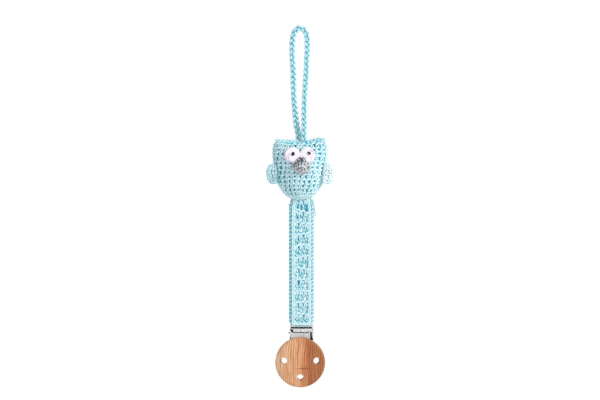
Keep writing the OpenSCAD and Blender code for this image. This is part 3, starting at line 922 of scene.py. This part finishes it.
def make_beak():
    """The beak: rounds of marled crochet from a wide base to a blunt tip."""
    low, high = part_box("beak")
    r_base = (high[0] - low[0]) / 2
    base = np.array([(low[0] + high[0]) / 2, high[1], high[2] - r_base])
    tip = np.array([base[0], low[1] + BEAK_TIP_R, low[2] + BEAK_TIP_R])
    rings = []
    count = 120
    a = 2 * math.pi * np.arange(count) / count
    for share in np.linspace(0, 1, 48):
        bulge = 0.5 * MM * math.sin(math.pi * min(share * 1.1, 1))
        radius = r_base + (BEAK_TIP_R - r_base) * share**1.15 + bulge - BEAK_YARN
        cap = smoothstep(0.78, 1.0, share)
        radius *= math.sqrt(max(0.02, 1 - cap**2))
        tilt = 0.75 * share
        up = np.array([0, -math.sin(tilt), math.cos(tilt)])
        centre = base + (tip - base) * min(share * 1.12, 1.12)
        rings.append(centre + radius * (np.cos(a)[:, None] * np.array([1.0, 0, 0])
                                        + np.sin(a)[:, None] * up))
    skin = Skin(rings, sign=1)
    yarn = Yarn(8)
    crochet(yarn, skin, 4, 12, BEAK_YARN, span=(0.0, 0.97), lean=0.1)

    def rise(points, laid):
        """Painted shade: darker in a spot at the top, between the eyes."""
        x = (points[:, 0] - base[0]) / BEAK_SHADE_R
        z = (points[:, 2] - (high[2] - BEAK_SHADE_DROP)) / BEAK_SHADE_R
        return laid - BEAK_SHADE_DEPTH * np.exp(-x**2 - z**2)

    dress(yarn.build("beak_crochet", rise), GREY, "owl", "grey_yarn", "beak")
    dress(skin.lining("beak_lining", -0.4 * MM, rows=20, cols=40), GREY, "owl", "grey_yarn")


make_eye("left_eye")
make_eye("right_eye")
make_pupil("left_pupil", 2.2 * MM, 2.4 * MM, 0.0)
make_pupil("right_pupil", 2.5 * MM, 1.5 * MM, math.radians(-48))
make_beak()

# -------------------------------------------------------------------------------- wings


def make_wing(name, side, mat):
    """A flat crocheted oval, sewn on along its straight edge."""
    seam = joint_point(name + "_flap")
    rings = []
    for share in np.linspace(0.02, 0.98, 60):
        z = (share - 0.47) * (WING_H - 2 * WING_YARN + 1.4 * MM)
        belly = math.sqrt(max(0.0, 1 - abs(2 * share - 0.94) ** 2.1 / 1.06 ** 2.1))
        tip = (WING_REACH - WING_YARN) * (0.16 + 0.84 * belly)
        root = -0.9 * MM + 1.0 * MM * abs(2 * share - 1) ** 3
        half = max((tip - root) / 2, 0.8 * MM)
        thick = max((WING_T / 2 - WING_YARN * 0.75) * (1 - abs(2 * share - 1) ** 4), 0.25 * MM)
        xy = oval_ring(half, thick, 2.2, 120) + [(tip + root) / 2, 0]
        rings.append(np.column_stack([xy, np.full(120, z)]))
    p = np.array(rings)[::-1]
    c, s = math.cos(WING_LEAN), math.sin(WING_LEAN)
    x = p[..., 0] * c + p[..., 2] * s
    z = -p[..., 0] * s + p[..., 2] * c
    placed = np.stack([side * x, p[..., 1], z], -1) + seam
    skin = Skin(placed, sign=-side)
    yarn = Yarn(8)
    crochet(yarn, skin, 4, 8, WING_YARN, span=(0.02, 0.98), lean=0.1)
    dress(yarn.build(name + "_crochet"), mat, name, "aqua_yarn", name)
    # Painted shade: a dark sheet under the wing's stitches, seen through their gaps.
    dress(skin.lining(name + "_lining", -0.4 * MM, rows=20, cols=32), AQUA_SHADE_SHEET, name, "aqua_yarn")


make_wing("left_wing", -1, AQUA)
# The right wing's paler yarn is painted light.
make_wing("right_wing", 1, AQUA_LIT)

# -------------------------------------------------------------------------------- strap

STRAP_TOP = STRAP_PIVOT[2] + 2.6 * MM
STRAP_END = BAR_Z + 1.3 * MM
PATTERN = 8.5 * MM
POST_SHARE = 0.58
EDGE_YARN = 0.66 * MM
LACE_YARN = 0.70 * MM
EDGE_X = STRAP_W / 2 - 3.0 * MM
LACE_W = 10.8 * MM
CORD_YARN = 0.58 * MM

# One leg of a chain stitch: across in CHAIN_W, up in stitches, out from the strap
CHAIN = np.array([
    (0.10, 0.20, -0.40), (0.72, -0.16, 0.30), (1.02, -0.50, 0.50),
    (0.78, -0.84, 0.35), (0.16, -1.14, -0.30)])
CHAIN_W = 0.66 * MM


def squeeze(z):
    """How the strap narrows towards its top and towards the bar."""
    top = 0.14 * (1 - smoothstep(0, 9 * MM, STRAP_TOP - z))
    end = 0.12 * (1 - smoothstep(0, 3.5 * MM, z - STRAP_END))
    return 1 - top - end


def on_strap(x, y, z):
    """Points from their place across, out of and along the flat strap."""
    x, y, z = np.broadcast_arrays(x, y, z)
    return np.stack([STRAP_X + x * squeeze(z), y, z], -1)


def chain(yarn, x, face):
    """A chain of looped stitches down one face of the strap."""
    count = round((STRAP_TOP - STRAP_END) / (PATTERN / 2))
    step = (STRAP_TOP - STRAP_END) / count
    k = np.arange(count)[:, None]
    for leg in (-1, 1):
        z = STRAP_TOP - k * step + CHAIN[None, :, 1] * step
        across = x + leg * CHAIN[None, :, 0] * CHAIN_W
        out = face * (0.55 * MM + CHAIN[None, :, 2] * 0.85 * MM)
        yarn.add(spline(on_strap(across, out, z), 3), EDGE_YARN)


def edge(yarn, side):
    """One edge of the strap: chains on both faces, a cord beyond them and a core between."""
    z = np.linspace(STRAP_TOP, STRAP_END, 180)
    for face in (-1, 1):
        chain(yarn, side * EDGE_X, face)
    for half in (0, math.pi):
        spin = 2 * math.pi * z / (0.66 * PATTERN) + half
        x = side * (EDGE_X + 2.05 * MM) + 0.50 * MM * np.cos(spin)
        yarn.add(on_strap(x, 0.50 * MM * np.sin(spin), z), CORD_YARN)
    wave = np.sin(z / (PATTERN / 2) * 2 * math.pi)
    yarn.add(on_strap(side * EDGE_X - 0.15 * MM * wave, 0.0, z), 0.85 * MM)


def posts(yarn, z0, z1, tilt, skip=()):
    """Tall twisted stitches side by side, with small holes between them."""
    count = 4
    share = np.linspace(-0.14, 1.14, 14)
    for k in range(count):
        if k in skip:
            continue
        x = LACE_W * ((k + 0.5) / count - 0.5) + rng.uniform(-0.4, 0.4) * MM
        slant = rng.uniform(-1.5, 0.7) * MM
        start = rng.uniform(0, math.pi)
        waist = 0.34 + 0.18 * np.sin(math.pi * np.clip(share, 0, 1))
        for half in (0, math.pi):
            a = 2 * math.pi * share * 0.9 + half + start
            across = x + slant * (share - 0.5) + waist * MM * np.cos(a)
            slope = tilt[0] * (1 - share) + tilt[1] * share
            z = z0 + (z1 - z0) * share + slope * across
            yarn.add(on_strap(across, 0.55 * MM * np.sin(a), z), LACE_YARN)


def low_row(yarn, z0, z1, tilt):
    """A low row of leaning stitches on both faces."""
    count = 3
    for face in (-1, 1):
        for k in range(count):
            x = ((k + 0.5) / count - 0.5) * LACE_W + rng.uniform(-0.45, 0.45) * MM
            tall = rng.uniform(0.85, 1.15)
            for shape in (*POSTS, BAR):
                across = x - face * shape[:, 0] * LACE_W / count * 1.05
                out = face * (0.35 + 0.62 * shape[:, 2]) * MM
                z = z1 + (z0 - z1) * tall * shape[:, 1] + tilt * across
                yarn.add(spline(on_strap(across, out, z), 3), LACE_YARN * 1.08)
        turn = np.linspace(0, 1, 28) * 2 * math.pi * count
        x = LACE_W * (turn / turn[-1] - 0.5)
        yarn.add(on_strap(x, face * (0.50 + 0.30 * np.cos(turn)) * MM,
                          z0 + 0.45 * MM * np.sin(turn + z0 / MM) + tilt * x), LACE_YARN)


def strap_end(yarn):
    """The last row, thick and level, and the thin wraps that hold it on the bar."""
    width = 2 * (EDGE_X + 1.9 * MM)
    turn = np.linspace(0, 10 * math.pi, 50)
    for face in (-1, 1):
        for up, phase in ((0.9 * MM, 0), (0.0, math.pi)):
            yarn.add(on_strap(width * (turn / turn[-1] - 0.5),
                              face * (0.85 + 0.25 * np.cos(turn + phase)) * MM,
                              STRAP_END + up + 0.25 * MM * np.sin(turn + phase)), 0.75 * MM)
    for k in range(4):
        x = STRAP_X + (k - 1.5) * 3.3 * MM
        a = np.linspace(0, math.pi, 12)
        reach = 0.72 * MM
        wrap = np.column_stack([
            x + 0.4 * MM * (a / math.pi - 0.5), -reach * np.cos(a), BAR_Z - reach * np.sin(a)])
        start = (x - 0.2 * MM, -reach, STRAP_END)
        end = (x + 0.2 * MM, reach, STRAP_END)
        yarn.add(np.concatenate([[start], wrap, [end]]), 0.26 * MM)


def bend_with_strap(obj):
    """Bakes a piece's transform into its mesh."""
    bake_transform(obj)


def make_strap():
    """The crocheted strap: lacy rows between two chained edges, and a patch of level yarn in
    place of one post at its top, laid deep so that it takes the dark colour: painted shade in that
    hole."""
    yarn = Yarn(8)
    for side in (-1, 1):
        edge(yarn, side)
    top = STRAP_TOP - 0.6 * MM
    count = round((top - STRAP_END) / PATTERN)
    step = (top - STRAP_END) / count
    tilts = [0.0] + [rng.uniform(-0.24, 0.24) for _ in range(count - 1)] + [0.0]
    for k in range(count):
        z0 = top - k * step
        middle_z = z0 - step * (1 - POST_SHARE)
        low_row(yarn, z0, middle_z, tilts[k])
        posts(yarn, middle_z, z0 - step, tilts[k:k + 2], skip=(3,) if k == 0 else ())
    # Painted shade: dark yarn laid flat where a post is left out.
    for k in range(4):
        low = 3.6 + 1.15 * k + 0.3 * np.sin(np.arange(6) * 2)
        patch = on_strap(np.linspace(1.5, 6.5, 6) * MM, 0.1 * MM * (k % 2), top - low * MM)
        yarn.add(patch, 0.6 * MM)
    strap_end(yarn)

    def rise(points, _):
        """Painted shade and light: darker nearer the strap's middle, the right edge cord paler
        than the left as the lit side, and painted shade on the wraps in the clip's slot.
        """
        x = points[:, 0] - STRAP_X
        away = np.abs(points[:, 1])
        outer = smoothstep(0.8 * MM, 1.5 * MM, np.abs(x) - EDGE_X)
        # Painted shade on the wraps in the clip's slot.
        slot = smoothstep(0.3 * MM, 0.9 * MM, BAR_Z - points[:, 2])
        lace = away / (0.66 * MM) - 0.6
        # Painted light: the right edge cord is set paler than the left.
        cord = away / (0.5 * MM) - np.where(x > 0, 0.45, 0.95)
        return lace * (1 - outer) + cord * outer - 3 * slot

    obj = yarn.build("strap_crochet", rise)
    dress(obj, AQUA, None, "aqua_yarn", "strap")
    bend_with_strap(obj)


make_strap()


def make_fold_stitches():
    """Sewing yarn across the back of the strap, above the bar."""
    low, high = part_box("fold_stitches")
    yarn = Yarn(8)
    count = 6
    sunk = low[1] - 0.7 * MM
    out = np.array([sunk, high[1], high[1], sunk])
    along = np.array([-0.9, -0.4, 0.4, 0.9]) * MM
    up = (low[2] + high[2]) / 2 + np.array([-0.7, -0.3, 0.3, 0.7]) * MM
    for k in range(count):
        x = low[0] + (high[0] - low[0]) * (k + 0.5) / count
        yarn.add(spline(np.column_stack([x + along, out, up]), 3), 0.4 * MM)
    dress(yarn.build("fold_thread"), AQUA, "strap", "aqua_yarn", "fold_stitches")


make_fold_stitches()


LABEL_W = 18 * MM
LABEL_H = 12 * MM
LABEL_T = 0.3 * MM
LABEL_TURN = math.radians(11)


def make_label():
    """A blank woven label behind the strap's top, slightly curled."""
    low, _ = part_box("care_label")
    pivot = np.array([STRAP_X - 0.5 * MM, low[1], STRAP_PIVOT[2] + 0.4 * MM])
    cols, rows = 24, 16
    layer, r, c = np.meshgrid((0, 1), np.arange(rows + 1), np.arange(cols + 1), indexing="ij")
    down = r / rows
    x = (c / cols - 0.5) * LABEL_W
    z = -down * LABEL_H
    curl = 0.25 * MM * np.sin(3 * x / LABEL_W + 2 * down)
    y = layer * LABEL_T + curl * down + 0.25 * MM
    cos, sin = math.cos(LABEL_TURN), math.sin(LABEL_TURN)
    verts = pivot + np.stack([x * cos - z * sin, y, x * sin + z * cos], -1).reshape(-1, 3)
    per = (rows + 1) * (cols + 1)
    grid = np.arange(per).reshape(rows + 1, cols + 1)
    a, b = grid[:-1, :-1].ravel(), grid[:-1, 1:].ravel()
    d, e = grid[1:, :-1].ravel(), grid[1:, 1:].ravel()
    front = np.stack([d, e, b, a], -1)
    back = per + np.stack([a, b, e, d], -1)
    rim = np.concatenate([grid[0, :-1], grid[:-1, -1], grid[-1, :0:-1], grid[:0:-1, 0]])
    after = np.roll(rim, -1)
    sides = np.stack([per + rim, per + after, after, rim], -1)
    faces = np.concatenate([np.stack([front, back], 1).reshape(-1, 4), sides])
    obj = new_mesh("label", verts, faces.ravel(), 4 * np.arange(len(faces)))
    dress(obj, SATIN, None, "label_satin", "care_label")
    bend_with_strap(obj)


make_label()

# ------------------------------------------------------------------- clip and wood disc


def finish_node(node, mat, bevel):
    """A CAD node that stays: rounded edges and its own material."""
    obj = frame["nodes"][node]
    obj.data.materials.clear()
    obj.data.materials.append(mat)
    edges = obj.modifiers.new("edges", "BEVEL")
    edges.width = bevel
    edges.segments = 2
    edges.limit_method = "ANGLE"
    edges.angle_limit = math.radians(40)
    edges.harden_normals = True


finish_node("clip_frame", FRAME_NICKEL, 0.1 * MM)
finish_node("clip_lever", NICKEL, 0.1 * MM)
# The hinge pin's dark steel is painted shade for the gap at the hinge.
finish_node("hinge_pin", PIN_SHADE_STEEL, 0.05 * MM)
for node in ("tongue_rivet", "disc_screws"):
    finish_node(node, STEEL, 0.05 * MM)
finish_node("tongue", STEEL, 0.05 * MM)
for node in ("frame_pad", "tongue_pad"):
    finish_node(node, PLASTIC, 0.06 * MM)
finish_node("wood_disc", BEECH, 0.35 * MM)

# ----------------------------------------------------------------------- stage and light

CENTRE = Vector((0, 0, -0.13))
FLOOR_R = 0.6
FLOOR_Z = -0.42
DAYLIGHT = (0.90, 0.97, 1, 1)
WHITE = (1, 1, 1, 1)


def make_stage():
    """A small pale floor well below."""
    mat, shader = material("stage_white")
    give(shader, Base_Color=(0.93, 0.93, 0.93, 1), Roughness=0.9)
    count = 64
    a = 2 * math.pi * np.arange(count) / count
    verts = np.column_stack([FLOOR_R * np.cos(a), FLOOR_R * np.sin(a), np.full(count, FLOOR_Z)])
    floor = new_mesh("floor", verts, list(range(count)), [0])
    floor.data.materials.append(mat)


def make_light(name, where, side, power):
    """A square soft light that faces the middle of the holder."""
    data = bpy.data.lights.new(name, "AREA")
    data.size = side
    data.energy = power
    obj = bpy.data.objects.new(name, data)
    obj.location = where
    obj.rotation_euler = (CENTRE - obj.location).to_track_quat("-Z", "Y").to_euler()
    bpy.context.scene.collection.objects.link(obj)


def make_world():
    """White to the camera and in reflections, softer and cooler as a light."""
    world = bpy.data.worlds.new("world")
    bpy.context.scene.world = world
    world.use_nodes = True
    seen = world.node_tree.nodes["Background"]
    give(seen, Color=WHITE, Strength=1.0)
    lit = put(world, "Background", Color=DAYLIGHT, Strength=0.47)
    path = put(world, "LightPath")
    either = math_node(world, "MAXIMUM", (path, "Is Camera Ray"), (path, "Is Glossy Ray"))
    mix = put(world, "MixShader")
    link(world, either, "Value", mix, "Fac")
    link(world, lit, "Background", mix, 1)
    link(world, seen, "Background", mix, 2)
    link(world, mix, "Shader", world.node_tree.nodes["World Output"], "Surface")


make_stage()
make_world()
make_light("key", (0.85, -0.42, 0.30), 0.3, 9.0)
make_light("fill", (-0.3, -0.9, 0.1), 0.6, 3.2)
make_light("rim", (0.3, 0.6, 0.2), 0.5, 3.0)
bpy.context.scene.view_settings.view_transform = "Standard"
